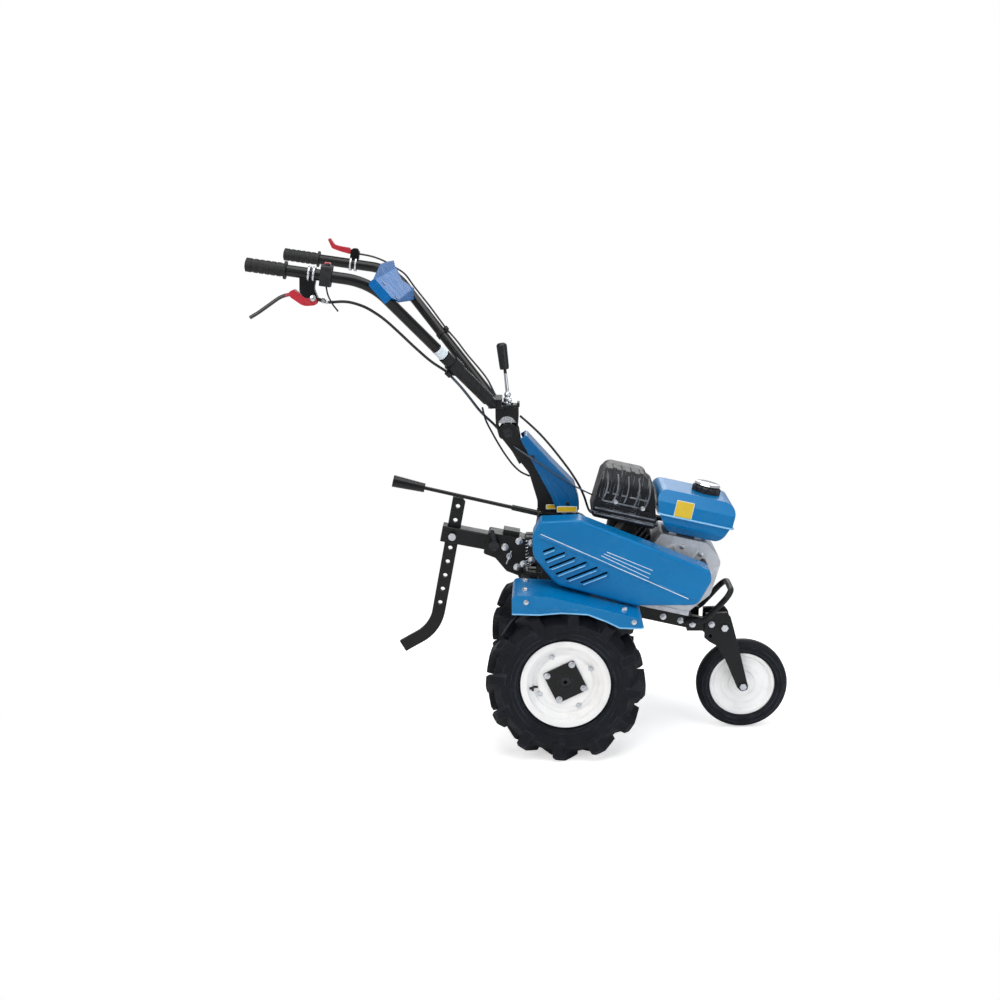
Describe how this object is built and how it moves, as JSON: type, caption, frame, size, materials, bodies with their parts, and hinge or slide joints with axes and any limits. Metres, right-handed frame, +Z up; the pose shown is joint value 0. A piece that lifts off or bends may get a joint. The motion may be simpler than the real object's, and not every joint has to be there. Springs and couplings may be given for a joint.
{
  "type": "garden tiller",
  "caption": "Walk-behind garden tiller on lugged drive wheels with a front transport wheel, belt guard, petrol engine, adjustable handlebars and rear depth stake.",
  "frame": {"origin": "centre of the bounding box in plan, on the ground", "axes": "+X points forward to the front wheel, +Y to the recoil starter side (left of the driver), +Z up"},
  "size_m": [1.3824, 0.564, 1.3191],
  "materials": {
    "black_paint": "satin black powder coat",
    "black_plastic": "moulded black plastic",
    "black_rubber": "matte moulded rubber",
    "blue_paint": "glossy blue enamel",
    "blue_plastic": "moulded blue plastic",
    "cast_aluminium": "die-cast aluminium",
    "red_paint": "glossy red enamel",
    "steel": "zinc plated steel",
    "tyre_rubber": "matte tyre rubber",
    "white_paint": "white enamel"
  },
  "bodies": {
    "chassis": {"air_cleaner": "black_plastic", "belt_guard": "blue_paint", "bumper": "black_paint", "carburettor": "cast_aluminium", "column": "black_paint", "column_cover": "blue_plastic", "crankcase": "cast_aluminium", "cylinder": "cast_aluminium", "drawbar": "black_paint", "fan_cover": "black_plastic", "fender_left": "blue_paint", "fender_right": "blue_paint", "fender_straps": "black_paint", "frame": "black_paint", "fuel_cap": "black_plastic", "fuel_tank": "blue_paint", "gear_lever": "black_paint", "gearbox": "cast_aluminium", "guard_back": "black_paint", "hitch_bracket": "black_paint", "hitch_pin": "steel", "leg_pivot": "steel", "lower_cables": "black_rubber", "muffler_guard": "black_plastic", "recoil_starter": "black_plastic", "stake": "black_paint", "stake_pin": "steel", "tilt_pin": "steel"},
    "wheels": {"axle": "steel", "drive_tyre_left": "tyre_rubber", "drive_tyre_right": "tyre_rubber", "drive_rim_left": "white_paint", "drive_rim_right": "white_paint", "drive_hub_left": "black_paint", "drive_hub_right": "black_paint"},
    "leg": {"front_leg": "black_paint", "front_axle": "steel"},
    "front_wheel": {"front_tyre": "tyre_rubber", "front_disc": "white_paint"},
    "head": {"head": "black_paint", "tilt_disc": "steel"},
    "handlebar": {"handle_bracket": "black_paint", "handle_bar_left": "black_paint", "handle_bar_right": "black_paint", "grip_left": "black_rubber", "grip_right": "black_rubber", "cross_bar": "black_paint", "handle_cover": "blue_plastic", "lock_lever": "black_paint", "perch_left": "black_paint", "perch_right": "black_paint", "clutch_lever_left": "red_paint", "clutch_lever_right": "red_paint", "switch_box": "black_plastic", "cable_clips": "black_rubber", "bar_cables": "black_rubber"}
  },
  "joints": [
    {"name": "drive_wheels_spin", "type": "hinge", "parent": "chassis", "child": "wheels", "pos_m": [0.08331, 0, 0.205], "axis": [0, 1, 0], "continuous": true},
    {"name": "leg_fold", "type": "hinge", "parent": "chassis", "child": "leg", "pos_m": [0.51431, 0, 0.29], "axis": [0, -1, 0], "range_deg": [0, 90]},
    {"name": "front_wheel_spin", "type": "hinge", "parent": "leg", "child": "front_wheel", "pos_m": [0.56801, 0, 0.1232], "axis": [0, 1, 0], "continuous": true},
    {"name": "handle_tilt", "type": "hinge", "parent": "chassis", "child": "head", "pos_m": [-0.06569, 0, 0.822], "axis": [0, 1, 0], "range_deg": [-20, 20], "deforming": ["lower_cables"]},
    {"name": "handle_swivel", "type": "hinge", "parent": "head", "child": "handlebar", "pos_m": [-0.06669, 0, 0.889], "axis": [0, 0, 1], "range_deg": [-40, 40], "deforming": ["lower_cables"]}
  ]
}
